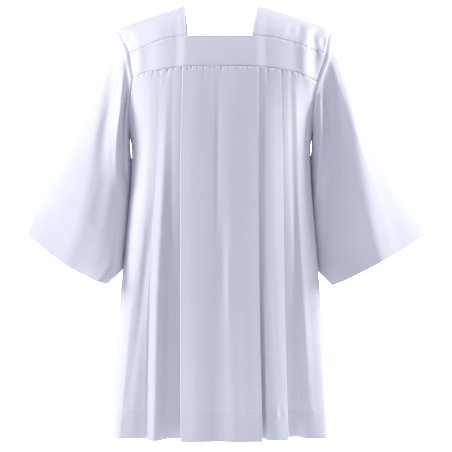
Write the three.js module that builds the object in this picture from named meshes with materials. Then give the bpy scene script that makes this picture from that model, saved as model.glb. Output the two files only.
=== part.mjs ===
// A white pleated rochet with a square neck, filled out as it is worn and open at neck, hem and cuffs.
// Millimetres, +Z up. The front faces -Y and the wearer's left is +X.
// The origin is between the shoulders, level with the highest points of the neck edge.
// Heights are given as drops below that level.

import * as THREE from "three";

// Cloth and seams
const WALL = 1.2;
const SEAM_GAP = 0.5;
const UNDERARM_GAP = 2.2;
const SEAM_LEAD = 5;

// Levels
const UNDERARM_DROP = 288;
const HEM_DROP = 960;
const HEM_SIDE_DIP = 4;
const HEM_HALF_WIDTH = 240;

// Pleats: how far one pleat lifts the cloth at the band, and how the pleats open towards the hem
const PLEAT_LIFT = 4.2;
const PLEAT_RAMPS = [{ outer: 180, inner: 118 }, { outer: 100, inner: 75 }];
const LAYER_SPREAD = 5;
const FOLD_BULGE = 1.0;
const PLEATS_FROM = 150;
const OPENING_POWER = 1.25;

// The filled-out body: half widths to each side, and depths before and behind the side seams
const ROUNDNESS = 2.4;
const BODY = [
  { drop: 70, right: 262, left: 290, front: 84, back: 80 },
  { drop: 113, right: 236, left: 270, front: 96, back: 92 },
  { drop: 165, right: 228, left: 250, front: 107, back: 102 },
  { drop: 200, right: 225, left: 232, front: 111, back: 106 },
  { drop: 240, right: 216, left: 214, front: 115, back: 109 },
  { drop: 288, right: 205, left: 204, front: 117, back: 111 },
  { drop: 330, right: 200, left: 200, front: 118, back: 112 },
  { drop: 400, right: 202, left: 202, front: 118, back: 112 },
  { drop: 450, right: 207, left: 206, front: 118, back: 112 },
  { drop: 550, right: 216, left: 214, front: 118, back: 112 },
  { drop: 640, right: 225, left: 222, front: 118, back: 112 },
  { drop: 860, right: 237, left: 235, front: 118, back: 112 },
  { drop: 970, right: 244, left: 243, front: 118, back: 112 },
];

// How far out the armhole seams lie, from the shoulder seam of the bands down to the underarm
const ARMHOLE = [
  { drop: 113, right: 203, left: 232 },
  { drop: 145, right: 195, left: 219 },
  { drop: 165, right: 194, left: 213 },
  { drop: 200, right: 199, left: 205.5 },
  { drop: 240, right: 204, left: 202.5 },
  { drop: UNDERARM_DROP, right: 205, left: 204 },
];

// Shoulders: the ridge runs out from the neck, and the seams to the bands run below it
const NECK_TOP = { right: 82, left: 87 };
const NECK_CORNER = { right: 74, left: 67 };
const SHOULDER_TIP = { right: 236, left: 247 };
const RIDGE = [
  { out: 0, drop: 0 },
  { out: 0.63, drop: 32 },
  { out: 0.82, drop: 43 },
  { out: 0.94, drop: 51 },
  { out: 1, drop: 57 },
];
const SHOULDER_SEAM = [
  { out: 0, drop: 77 },
  { out: 0.25, drop: 80 },
  { out: 0.44, drop: 86 },
  { out: 0.63, drop: 94 },
  { out: 0.75, drop: 101 },
  { out: 0.86, drop: 107 },
  { out: 1, drop: 113 },
];
const SHOULDER_FULLNESS = 0.72;
const SHOULDER_FALL = 7;

// The seam between the bands and the skirts, by distance from the middle
const CORNER_PASSES = 8;
const BAND_SEAM = [
  { x: 0, drop: 145.5 },
  { x: 82, drop: 147 },
  { x: 115, drop: 150 },
  { x: 150, drop: 154 },
  { x: 170, drop: 159 },
  { x: 190, drop: 167 },
  { x: 215, drop: 177 },
];

// Soft upright creases of the bands and the skirts' tops beside the armholes
const CREASE_LIMIT = 0.93;
const CHEST_CREASES = {
  front: [
    { x: 182, top: 70, bottom: 260, width: 13, height: 5 },
    { x: 206, top: 70, bottom: 230, width: 12, height: -6 },
    { x: -178, top: 90, bottom: 250, width: 12, height: 3 },
  ],
  back: [
    { x: 184, top: 75, bottom: 250, width: 13, height: 3 },
    { x: -186, top: 70, bottom: 270, width: 14, height: 4 },
  ],
};

// Stops of each panel across a skirt: x at the band, chest, knee and hem levels, the number of pleats
// it lies on at the band, and how far before (or behind) the side seams it hangs at the hem
const LEVELS = [150, 400, 700, 960];
const EDGE_MARGIN = 3;
// From the wearer's right: outer part, tier, centre, tier, outer part
const FRONT_PANELS = [
  {
    edge: "right",
    stops: [
      { band: -191, chest: -199.5, knee: -226, hem: -241, pleats: 0, depth: 15 },
      { band: -187, chest: -190, knee: -213, hem: -229, pleats: 0, depth: 38 },
      { band: -168, chest: -172, knee: -190, hem: -200, pleats: 0, depth: 49 },
      { band: -140, chest: -150, knee: -165, hem: -168, pleats: 0, depth: 44 },
      { band: -76, chest: -92, knee: -118, hem: -136, pleats: 0, depth: 34 },
    ],
  },
  {
    stops: [
      { band: -128.5, chest: -141, knee: -154.5, hem: -158.6, pleats: 1, depth: 90 },
      { band: -115, chest: -126, knee: -138, hem: -140, pleats: 1, depth: 97 },
      { band: -104, chest: -110, knee: -118, hem: -120, pleats: 1, depth: 70 },
      { band: -86, chest: -90, knee: -90, hem: -88, pleats: 1, depth: 60 },
      { band: -32, chest: -38, knee: -48, hem: -56, pleats: 1, depth: 50 },
    ],
  },
  {
    stops: [
      { band: -81.2, chest: -86.7, knee: -86.5, hem: -85.4, pleats: 2, depth: 120 },
      { band: -48, chest: -50, knee: -50, hem: -48, pleats: 2, depth: 126 },
      { band: -12, chest: -8, knee: -6, hem: -5, pleats: 1.6, depth: 121 },
      { band: 24, chest: 22, knee: 26, hem: 32, pleats: 2, depth: 127 },
      { band: 54, chest: 54, knee: 58, hem: 62, pleats: 2, depth: 124 },
      { band: 81.2, chest: 80.5, knee: 84, hem: 90.7, pleats: 2, depth: 119 },
    ],
  },
  {
    stops: [
      { band: 32, chest: 38, knee: 50, hem: 58, pleats: 1, depth: 50 },
      { band: 84, chest: 82, knee: 87, hem: 93, pleats: 1, depth: 60 },
      { band: 98, chest: 94, knee: 98, hem: 105, pleats: 1, depth: 90 },
      { band: 114, chest: 113, knee: 118, hem: 126, pleats: 1, depth: 95 },
      { band: 130.7, chest: 135.4, knee: 139.6, hem: 147.8, pleats: 1, depth: 86 },
    ],
  },
  {
    edge: "left",
    stops: [
      { band: 76, chest: 86, knee: 106, hem: 116, pleats: 0, depth: 26 },
      { band: 135, chest: 140, knee: 150, hem: 152, pleats: 0, depth: 29 },
      { band: 152, chest: 158, knee: 170, hem: 173, pleats: 0, depth: 24 },
      { band: 168, chest: 172, knee: 186, hem: 197, pleats: 0, depth: 48 },
      { band: 190, chest: 190, knee: 212, hem: 226, pleats: 0, depth: 42 },
      { band: 202, chest: 199.5, knee: 225, hem: 239.5, pleats: 0, depth: 15 },
    ],
  },
];
const BACK_PANELS = [
  {
    edge: "right",
    stops: [
      { band: -191, chest: -199.5, knee: -226, hem: -241, pleats: 0, depth: 15 },
      { band: -187, chest: -190, knee: -212, hem: -227, pleats: 0, depth: 34 },
      { band: -168, chest: -172, knee: -190, hem: -198, pleats: 0, depth: 44 },
      { band: -140, chest: -150, knee: -163, hem: -166, pleats: 0, depth: 38 },
      { band: -76, chest: -92, knee: -117, hem: -132, pleats: 0, depth: 30 },
    ],
  },
  {
    stops: [
      { band: -129, chest: -139, knee: -150, hem: -155, pleats: 1, depth: 92 },
      { band: -114, chest: -121, knee: -129, hem: -131, pleats: 1, depth: 76 },
      { band: -86, chest: -90, knee: -92, hem: -92, pleats: 1, depth: 57 },
      { band: -32, chest: -38, knee: -48, hem: -56, pleats: 1, depth: 49 },
    ],
  },
  {
    stops: [
      { band: -81, chest: -84, knee: -86, hem: -88, pleats: 2, depth: 109 },
      { band: -44, chest: -46, knee: -48, hem: -50, pleats: 2, depth: 116 },
      { band: -4, chest: 4, knee: 10, hem: 14, pleats: 1.7, depth: 112 },
      { band: 42, chest: 44, knee: 47, hem: 50, pleats: 2, depth: 117 },
      { band: 81, chest: 83, knee: 86, hem: 88, pleats: 2, depth: 108 },
    ],
  },
  {
    stops: [
      { band: 32, chest: 38, knee: 48, hem: 56, pleats: 1, depth: 49 },
      { band: 86, chest: 88, knee: 90, hem: 94, pleats: 1, depth: 60 },
      { band: 112, chest: 116, knee: 122, hem: 128, pleats: 1, depth: 80 },
      { band: 130, chest: 137, knee: 146, hem: 152, pleats: 1, depth: 90 },
    ],
  },
  {
    edge: "left",
    stops: [
      { band: 76, chest: 92, knee: 114, hem: 127, pleats: 0, depth: 28 },
      { band: 138, chest: 146, knee: 158, hem: 162, pleats: 0, depth: 34 },
      { band: 166, chest: 171, knee: 188, hem: 196, pleats: 0, depth: 46 },
      { band: 189, chest: 190, knee: 211, hem: 226, pleats: 0, depth: 34 },
      { band: 202, chest: 199.5, knee: 225, hem: 239.5, pleats: 0, depth: 15 },
    ],
  },
];

// Small gathers where the skirts are eased into the bands: the cloth rises between them
const GATHER_WIDTH = 2.8;
const GATHER_RISE = 1.7;
const GATHER_RISE_LENGTH = 30;
const COVER_MARGIN = 6;
const GATHERS = {
  front: [
    { x: -148, depth: 1.2, length: 22 },
    { x: -115, depth: 1.6, length: 26 },
    { x: -71.5, depth: 1.2, length: 22 },
    { x: -62, depth: 1.4, length: 24 },
    { x: -51.5, depth: 1.2, length: 20 },
    { x: -38.5, depth: 2.0, length: 34 },
    { x: -22, depth: 1.2, length: 20 },
    { x: -13.5, depth: 1.2, length: 22 },
    { x: 1.5, depth: 1.8, length: 28 },
    { x: 15.5, depth: 1.2, length: 20 },
    { x: 30, depth: 1.3, length: 22 },
    { x: 40, depth: 1.2, length: 20 },
    { x: 57, depth: 2.0, length: 30 },
    { x: 69.5, depth: 1.2, length: 20 },
    { x: 101, depth: 1.8, length: 34 },
    { x: 119, depth: 1.2, length: 20 },
    { x: 148, depth: 1.3, length: 24 },
  ],
  back: [
    { x: -150, depth: 1.3, length: 24 },
    { x: -112, depth: 1.5, length: 26 },
    { x: -66, depth: 1.4, length: 24 },
    { x: -49, depth: 1.6, length: 28 },
    { x: -33, depth: 1.2, length: 20 },
    { x: -18, depth: 1.6, length: 30 },
    { x: -2, depth: 1.3, length: 22 },
    { x: 16, depth: 1.8, length: 28 },
    { x: 33, depth: 1.2, length: 20 },
    { x: 48, depth: 1.5, length: 26 },
    { x: 66, depth: 1.3, length: 22 },
    { x: 104, depth: 1.5, length: 28 },
    { x: 150, depth: 1.3, length: 22 },
  ],
};

// Sleeves: the cuff's outer and inner ends, and its loop between them. Around a sleeve, 0 is the
// shoulder side, 0.25 the front, 0.5 the body side and 0.75 the back.
const CUFF_ENDS = {
  right: { outer: { x: 436, y: 4, drop: 512 }, inner: { x: 253, y: 16, drop: 622 } },
  left: { outer: { x: 454, y: 4, drop: 515 }, inner: { x: 248, y: 16, drop: 627 } },
};
const CUFF_SAG = { right: 1.2, left: 0.3 };
const CUFF_LOOP = {
  right: [
    { around: 0, across: 0, front: 0, sag: 0 },
    { around: 0.06, across: 0.11, front: 12, sag: 3 },
    { around: 0.12, across: 0.24, front: 24, sag: 6 },
    { around: 0.18, across: 0.37, front: 35, sag: 9 },
    { around: 0.24, across: 0.51, front: 47, sag: 10 },
    { around: 0.3, across: 0.66, front: 57, sag: 9 },
    { around: 0.36, across: 0.81, front: 67, sag: 6 },
    { around: 0.41, across: 0.92, front: 69, sag: 3 },
    { around: 0.46, across: 0.985, front: 44, sag: 0 },
    { around: 0.5, across: 1, front: -4, sag: 0 },
    { around: 0.55, across: 0.96, front: -24, sag: 0 },
    { around: 0.65, across: 0.75, front: -44, sag: 3 },
    { around: 0.78, across: 0.45, front: -46, sag: 5 },
    { around: 0.9, across: 0.18, front: -26, sag: 3 },
  ],
  left: [
    { around: 0, across: 0, front: 0, sag: 0 },
    { around: 0.06, across: 0.12, front: 18, sag: 3 },
    { around: 0.12, across: 0.25, front: 34, sag: 6 },
    { around: 0.18, across: 0.38, front: 49, sag: 9 },
    { around: 0.235, across: 0.51, front: 58, sag: 10 },
    { around: 0.3, across: 0.67, front: 55, sag: 9 },
    { around: 0.36, across: 0.82, front: 49, sag: 6 },
    { around: 0.41, across: 0.925, front: 39, sag: 3 },
    { around: 0.46, across: 0.985, front: 17, sag: 0 },
    { around: 0.5, across: 1, front: -4, sag: 0 },
    { around: 0.55, across: 0.96, front: -24, sag: 0 },
    { around: 0.65, across: 0.75, front: -44, sag: 3 },
    { around: 0.78, across: 0.45, front: -46, sag: 5 },
    { around: 0.9, across: 0.18, front: -26, sag: 3 },
  ],
};
// How the body side of a sleeve is drawn in behind the body, down the sleeve
const TUCK = [
  { down: 0, inward: 0, back: 0 },
  { down: 0.1, inward: 5, back: 7 },
  { down: 0.25, inward: 13, back: 18 },
  { down: 0.5, inward: 23, back: 28 },
  { down: 0.75, inward: 29, back: 30 },
  { down: 0.88, inward: 30, back: 19 },
  { down: 1, inward: 0, back: 0 },
];
const TUCK_SHARE = { right: 0.93, left: 0.86 };
const TUCK_POWER = { inward: 3, back: 7 };
// Folds along the sleeves: where they run around the sleeve at its top, middle and cuff, and how round
// the top of each ridge is
const FOLDS_START = 0.14;
const FOLD_FADE = 0.55;
const FOLD_TURN = 0.3;
const SLEEVE_FOLDS = {
  right: [
    { top: 0.03, middle: 0.19, cuff: 0.235, from: -0.1, to: 1.2, width: 0.07, height: 4, rounding: 0.03 },
    { top: 0.05, middle: 0.26, cuff: 0.34, from: -0.05, to: 0.75, width: 0.05, height: -4, rounding: 0 },
    { top: 0.16, middle: 0.4, cuff: 0.5, from: -0.1, to: 0.6, width: 0.035, height: 9, rounding: 0.02 },
    { top: 0.26, middle: 0.48, cuff: 0.51, from: 0, to: 0.45, width: 0.034, height: -16, rounding: 0 },
    { top: 0.96, middle: 0.86, cuff: 0.8, from: -0.1, to: 1.4, width: 0.07, height: 10, rounding: 0.01 },
    { top: 0.86, middle: 0.73, cuff: 0.68, from: 0.05, to: 1.1, width: 0.05, height: -11, rounding: 0 },
    { top: 0.76, middle: 0.63, cuff: 0.58, from: 0.05, to: 1, width: 0.04, height: 10, rounding: 0.01 },
  ],
  left: [
    { top: 0.04, middle: 0.17, cuff: 0.24, from: -0.1, to: 1.4, width: 0.07, height: 12, rounding: 0.03 },
    { top: 0.17, middle: 0.35, cuff: 0.44, from: -0.1, to: 1.1, width: 0.035, height: -7, rounding: 0 },
    { top: 0.27, middle: 0.44, cuff: 0.48, from: 0.05, to: 1, width: 0.03, height: 13, rounding: 0.01 },
    { top: 0.21, middle: 0.4, cuff: 0.5, from: -0.1, to: 0.4, width: 0.03, height: -12, rounding: 0 },
    { top: 0.95, middle: 0.87, cuff: 0.82, from: -0.1, to: 1.4, width: 0.07, height: 10, rounding: 0.01 },
    { top: 0.86, middle: 0.75, cuff: 0.7, from: 0.05, to: 1.2, width: 0.05, height: -10, rounding: 0 },
    { top: 0.76, middle: 0.65, cuff: 0.6, from: 0.05, to: 1, width: 0.04, height: 10, rounding: 0.01 },
  ],
};

// How finely each piece is divided
const BAND_COLUMNS = 40;
const BAND_ROWS = 3;
const SHOULDER_COLUMNS = 14;
const SHOULDER_ROWS = 14;
const SKIRT_ROWS = [0, 0.014, 0.036, 0.09, 0.155, 0.25, 0.37, 0.51, 0.66, 0.82, 1];
const SPAN_STEPS = 2;
const FOLD_STEPS = 2;
const GATHER_FLANK = 5;
const CLOSEST_COLUMNS = 4.4;
const ARMHOLE_STEPS = 24;
const INSET = 0.02;
const UNDERARM_FROM = 0.45;
const UNDERARM_WHOLLY = 0.85;
const LEAD_FADE = 0.02;
const SLEEVE_COLUMNS = 44;
const SLEEVE_ROWS = [0, 0.012, 0.04, 0.09, 0.16, 0.25, 0.36, 0.48, 0.61, 0.74, 0.87, 1];

const SIDES = { right: -1, left: 1 };
const FACES = { front: -1, back: 1 };

function mix(a, b, share) {
  return a + (b - a) * share;
}

function smooth(from, to, at) {
  const share = Math.min(Math.max((at - from) / (to - from), 0), 1);
  return share * share * (3 - 2 * share);
}

// The value of a table's column, on a curve through its rows that never overshoots them
function read(table, key, column, at) {
  const last = table.length - 1;
  if (at <= table[0][key]) return table[0][column];
  if (at >= table[last][key]) return table[last][column];
  const slope = (i) =>
    (table[i + 1][column] - table[i][column]) / (table[i + 1][key] - table[i][key]);
  const tangent = (i) => {
    if (i === 0) return slope(0);
    if (i === last) return slope(last - 1);
    const before = slope(i - 1);
    const after = slope(i);
    return before * after <= 0 ? 0 : (2 * before * after) / (before + after);
  };
  let i = 0;
  while (at > table[i + 1][key]) i += 1;
  const step = table[i + 1][key] - table[i][key];
  const t = (at - table[i][key]) / step;
  return (
    (2 * t ** 3 - 3 * t ** 2 + 1) * table[i][column] +
    (t ** 3 - 2 * t ** 2 + t) * step * tangent(i) +
    (3 * t ** 2 - 2 * t ** 3) * table[i + 1][column] +
    (t ** 3 - t ** 2) * step * tangent(i + 1)
  );
}

function catmull(points, at) {
  const i = Math.min(Math.floor(at), points.length - 2);
  const t = at - i;
  const [b, c] = [points[i], points[i + 1]];
  const a = points[i - 1] ?? b.clone().multiplyScalar(2).sub(c);
  const d = points[i + 2] ?? c.clone().multiplyScalar(2).sub(b);
  const blend = (p, q, r, s) =>
    0.5 * (2 * q + (r - p) * t + (2 * p - 5 * q + 4 * r - s) * t ** 2 +
      (3 * q - p - 3 * r + s) * t ** 3);
  return new THREE.Vector3(
    blend(a.x, b.x, c.x, d.x),
    blend(a.y, b.y, c.y, d.y),
    blend(a.z, b.z, c.z, d.z),
  );
}

function sideOf(x) {
  return x < 0 ? "right" : "left";
}

// How far before or behind the side seams the plain body lies
function bodyDepth(face, x, drop) {
  const share = Math.min(Math.abs(x) / read(BODY, "drop", sideOf(x), drop), 1);
  const plain = read(BODY, "drop", face, drop) * Math.sqrt(1 - share ** ROUNDNESS);
  const creases = CHEST_CREASES[face].map((crease) => {
    const length = crease.bottom - crease.top;
    const along = Math.min(Math.max((drop - crease.top) / length, 0), 1);
    const fade = Math.sin(Math.PI * Math.sqrt(along)) ** 2;
    return crease.height * fade * Math.exp(-(((x - crease.x) / crease.width) ** 2));
  });
  const nearEdge = smooth(1, CREASE_LIMIT, share);
  return plain + nearEdge * creases.reduce((sum, height) => sum + height, 0);
}

// How far the pleats beneath push a band out
function pleatStack(x) {
  const ramps = PLEAT_RAMPS.map(({ outer, inner }) => smooth(outer, inner, Math.abs(x)));
  return PLEAT_LIFT * (ramps[0] + ramps[1]);
}

function bandSurface(face, x, drop) {
  return new THREE.Vector3(x, FACES[face] * (bodyDepth(face, x, drop) + pleatStack(x)), -drop);
}

function bandSeam(x) {
  return read(BAND_SEAM, "x", "drop", Math.abs(x));
}

// The end of a band's lower seam, on the armhole
function bandCorner(side) {
  let x = ARMHOLE[2][side];
  for (let i = 0; i < CORNER_PASSES; i += 1) x = read(ARMHOLE, "drop", side, bandSeam(x));
  return x;
}

// out runs from the neck edge (0) to the armhole (1), turn from the front seam (-1) to the back seam (1)
function shoulderPoint(side, out, turn) {
  const face = turn < 0 ? "front" : "back";
  const sign = SIDES[side];
  const ridge = new THREE.Vector3(
    sign * mix(NECK_TOP[side], SHOULDER_TIP[side], out), 0, -read(RIDGE, "out", "drop", out));
  const x = sign * mix(NECK_CORNER[side], ARMHOLE[0][side], out);
  const seam = bandSurface(face, x, read(SHOULDER_SEAM, "out", "drop", out));
  const middle = new THREE.Vector3(
    mix(ridge.x, seam.x, 0.5), SHOULDER_FULLNESS * seam.y, ridge.z - SHOULDER_FALL);
  const t = Math.abs(turn);
  return ridge.multiplyScalar((1 - t) ** 2)
    .add(middle.multiplyScalar(2 * t * (1 - t)))
    .add(seam.multiplyScalar(t ** 2));
}

// across runs from the right armhole (-1) to the left one (1), down from the neck (0) to the skirt (1)
function bandPoint(face, across, down) {
  const side = sideOf(across);
  const sign = SIDES[side];
  const share = Math.abs(across);
  const neckShare = NECK_CORNER[side] / ARMHOLE[0][side];
  const out = Math.max((share - neckShare) / (1 - neckShare), 0);
  const topDrop = read(SHOULDER_SEAM, "out", "drop", out) + SEAM_GAP / 2;
  const topX = sign * share * ARMHOLE[0][side];
  const bottomX = sign * share * bandCorner(side);
  const x = mix(topX, bottomX, down);
  return bandSurface(face, x, mix(topDrop, bandSeam(x) - SEAM_GAP / 2, down));
}

// How far out a skirt's edge lies: on the armhole, and below it on the side seam
function skirtEdge(side, drop) {
  const table = drop < UNDERARM_DROP ? ARMHOLE : BODY;
  return SIDES[side] * read(table, "drop", side, drop);
}

function stopX(stop, drop) {
  const table = LEVELS.map((level, i) => ({
    level, x: [stop.band, stop.chest, stop.knee, stop.hem][i],
  }));
  return read(table, "level", "x", drop);
}

// The place of a stop at a share of the way down a skirt
function stopPoint(face, stop, down) {
  const seam = stop.edge ? bandSeam(bandCorner(stop.edge)) : bandSeam(stop.band);
  const side = stop.edge ?? sideOf(stop.band);
  const aside = Math.min(Math.abs(stop.hem ?? HEM_HALF_WIDTH) / HEM_HALF_WIDTH, 1);
  const hem = HEM_DROP + HEM_SIDE_DIP * aside ** 2;
  const drop = mix(seam + SEAM_GAP / 2, hem, down);
  const opened = Math.max((drop - PLEATS_FROM) / (HEM_DROP - PLEATS_FROM), 0) ** OPENING_POWER;
  if (stop.edge) {
    const x = skirtEdge(side, drop);
    return new THREE.Vector3(x, FACES[face] * (bodyDepth(face, x, drop) + SEAM_GAP / 2), -drop);
  }
  const x = stopX(stop, drop);
  const limit = Math.abs(skirtEdge(side, drop)) - EDGE_MARGIN;
  const inside = Math.sign(x) * Math.min(Math.abs(x), limit);
  const pressed = bodyDepth(face, inside, drop) + PLEAT_LIFT * stop.pleats;
  return new THREE.Vector3(inside, FACES[face] * mix(pressed, stop.depth, opened), -drop);
}

// The stops of every layer across a skirt, in order: panels, and the hidden layers between them
function skirtLayers(panels) {
  const layers = [];
  panels.forEach((panel, i) => {
    const stops = [...panel.stops];
    if (panel.edge === "right") stops.unshift({ edge: "right" });
    if (panel.edge === "left") stops.push({ edge: "left" });
    if (i > 0) {
      const from = layers[layers.length - 1].stops.at(-1);
      const to = stops[0];
      const rises = to.pleats > from.pleats;
      const [low, high] = rises ? [from, to] : [to, from];
      const pleats = (low.pleats + high.pleats) / 2;
      const near = { ...low, pleats, depth: low.depth + LAYER_SPREAD };
      const far = { ...high, pleats, depth: high.depth - LAYER_SPREAD };
      layers.push({ hidden: true, turn: rises ? 1 : -1, stops: rises ? [near, far] : [far, near] });
    }
    const middle = (panels.length - 1) / 2;
    const cover = i === middle ? null : {
      x: i < middle ? panels[i + 1].stops[0].band : panels[i - 1].stops.at(-1).band,
      side: i < middle ? -1 : 1,
    };
    layers.push({ hidden: false, cover, stops });
  });
  return layers;
}

// Where a layer has its columns, as places between its stops
function layerColumns(face, layer) {
  const last = layer.stops.length - 1;
  if (layer.hidden) return Array.from({ length: FOLD_STEPS + 1 }, (_, i) => (i / FOLD_STEPS) * last);
  const places = Array.from({ length: last * SPAN_STEPS + 1 }, (_, i) => i / SPAN_STEPS);
  const tops = layer.stops.map((stop) => stopPoint(face, stop, 0).x);
  const placeOf = (x) => {
    const i = tops.findIndex((top, k) => k < last && x >= top && x <= tops[k + 1]);
    return i < 0 ? null : i + (x - tops[i]) / (tops[i + 1] - tops[i]);
  };
  const xOf = (place) => {
    const i = Math.min(Math.floor(place), last - 1);
    return mix(tops[i], tops[i + 1], place - i);
  };
  const wanted = GATHERS[face].flatMap(({ x }) => [x, x - GATHER_FLANK, x + GATHER_FLANK])
    .map(placeOf).filter((place) => place !== null);
  const kept = layer.stops.map((stop, i) => i);
  for (const place of [...wanted, ...places]) {
    if (kept.every((other) => Math.abs(xOf(other) - xOf(place)) > CLOSEST_COLUMNS)) kept.push(place);
  }
  return kept.sort((a, b) => a - b);
}

// How far the gathered cloth stands out, where no other layer covers it
function gatherRise(face, cover, x, below) {
  const bare = cover ? smooth(0, COVER_MARGIN, cover.side * (x - cover.x)) : 1;
  const rise = GATHER_RISE * Math.max(1 - below / GATHER_RISE_LENGTH, 0) ** 2;
  return bare * GATHERS[face].reduce((sum, { x: at, depth, length }) => {
    const fade = Math.max(1 - below / length, 0) ** 2;
    return sum - depth * fade * Math.exp(-(((x - at) / GATHER_WIDTH) ** 2));
  }, rise);
}

function skirtRow(face, layers, columns, down) {
  const row = [];
  layers.forEach((layer, i) => {
    const stops = layer.stops.map((stop) => stopPoint(face, stop, down));
    const points = columns[i].map((place) => catmull(stops, place));
    if (!layer.hidden) {
      for (const point of points) {
        const below = -point.z - bandSeam(point.x);
        point.y += FACES[face] * gatherRise(face, layer.cover, point.x, below);
      }
    }
    if (i > 0) {
      const before = row.at(-1);
      const turn = before.clone().add(points[0]).multiplyScalar(0.5);
      const outward = layer.hidden ? layer.turn : -layers[i - 1].turn;
      turn.x += outward * FOLD_BULGE;
      row.push(turn);
    }
    row.push(...points);
  });
  return row;
}

function skirtGrid(face, panels) {
  const layers = skirtLayers(panels);
  const columns = layers.map((layer) => layerColumns(face, layer));
  return SKIRT_ROWS.map((down) => skirtRow(face, layers, columns, down));
}

// One half of an armhole, from the shoulder tip down to the underarm, and the lines just inside it
function armholeHalf(side, face) {
  const sign = SIDES[side];
  const seam = bandSeam(bandCorner(side));
  const shares = Array.from({ length: ARMHOLE_STEPS + 1 }, (_, i) => i / ARMHOLE_STEPS);
  const line = (inset) => [
    ...shares.map((share) => shoulderPoint(side, 1 - inset, FACES[face] * share)),
    ...shares.slice(1).map((share) => bandPoint(face, sign * (1 - inset), share)),
    ...shares.slice(1).map((share) => {
      const drop = mix(seam, UNDERARM_DROP, share);
      const x = skirtEdge(side, drop) * (1 - inset);
      return new THREE.Vector3(x, FACES[face] * (bodyDepth(face, x, drop) + pleatStack(x)), -drop);
    }),
  ];
  return { edge: line(0), inside: line(INSET) };
}

// The place on a line at a share of the guiding line's length
function alongLine(line, guide, share) {
  const lengths = guide.slice(1).map((point, i) => point.distanceTo(guide[i]));
  let remaining = share * lengths.reduce((sum, length) => sum + length, 0);
  let i = 0;
  while (i < lengths.length - 1 && remaining > lengths[i]) {
    remaining -= lengths[i];
    i += 1;
  }
  return line[i].clone().lerp(line[i + 1], lengths[i] ? remaining / lengths[i] : 0);
}

// Where a sleeve starts: just off the armhole, leading on from the body's cloth, and straight out
// from the body at the underarm
function sleeveHead(side, half, share, down) {
  const edge = alongLine(half.edge, half.edge, share);
  const inside = alongLine(half.inside, half.edge, share);
  const onward = edge.clone().sub(inside).normalize();
  const low = smooth(UNDERARM_FROM, UNDERARM_WHOLLY, share);
  const direction = onward.lerp(new THREE.Vector3(SIDES[side], 0, 0), low).normalize();
  const lead = SEAM_LEAD * (1 - low) * (1 - Math.exp(-down / LEAD_FADE));
  return edge.addScaledVector(direction, mix(SEAM_GAP, UNDERARM_GAP, low) + lead);
}

function cuffPoint(side, around) {
  const { outer, inner } = CUFF_ENDS[side];
  const sign = SIDES[side];
  const loop = CUFF_LOOP[side];
  const rows = [...loop, { ...loop[0], around: 1 }];
  const across = read(rows, "around", "across", around);
  const sag = CUFF_SAG[side] * read(rows, "around", "sag", around);
  return new THREE.Vector3(
    sign * mix(outer.x, inner.x, across),
    mix(outer.y, inner.y, across) - read(rows, "around", "front", around),
    -mix(outer.drop, inner.drop, across) - sag,
  );
}

function foldHeight(side, around, down) {
  return SLEEVE_FOLDS[side].reduce((sum, fold) => {
    const upper = mix(fold.top, fold.middle, Math.min(down * 2, 1));
    const centre = down < 0.5 ? upper : mix(fold.middle, fold.cuff, down * 2 - 1);
    const along = (down - fold.from) / (fold.to - fold.from);
    if (along <= 0 || along >= 1) return sum;
    const fade = Math.sin(Math.PI * along) ** FOLD_FADE;
    const aside = around - centre;
    const rounded = fold.rounding - Math.hypot(aside, fold.rounding);
    const shape = fold.height > 0 ? Math.exp(rounded / fold.width) : Math.exp(-((aside / fold.width) ** 2));
    return sum + fold.height * fade * shape;
  }, 0);
}

function sleeveGrid(side) {
  const front = armholeHalf(side, "front");
  const back = armholeHalf(side, "back");
  const sign = SIDES[side];
  return SLEEVE_ROWS.map((down) =>
    Array.from({ length: SLEEVE_COLUMNS }, (_, i) => {
      const around = i / SLEEVE_COLUMNS;
      const [half, share] = around <= 0.5 ? [front, around * 2] : [back, 2 - around * 2];
      const point = sleeveHead(side, half, share, down).lerp(cuffPoint(side, around), down);
      const bodySide = (1 - Math.cos(2 * Math.PI * around)) / 2;
      const inward = bodySide ** TUCK_POWER.inward * read(TUCK, "down", "inward", down);
      point.x -= sign * TUCK_SHARE[side] * inward;
      point.y += TUCK_SHARE[side] * bodySide ** TUCK_POWER.back * read(TUCK, "down", "back", down);
      const outward = -Math.sin(2 * Math.PI * around);
      const start = smooth(0, FOLDS_START, down);
      const turn = Math.sign(outward) * Math.abs(outward) ** FOLD_TURN;
      point.y += turn * start * foldHeight(side, around, down);
      return point;
    }));
}

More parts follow.
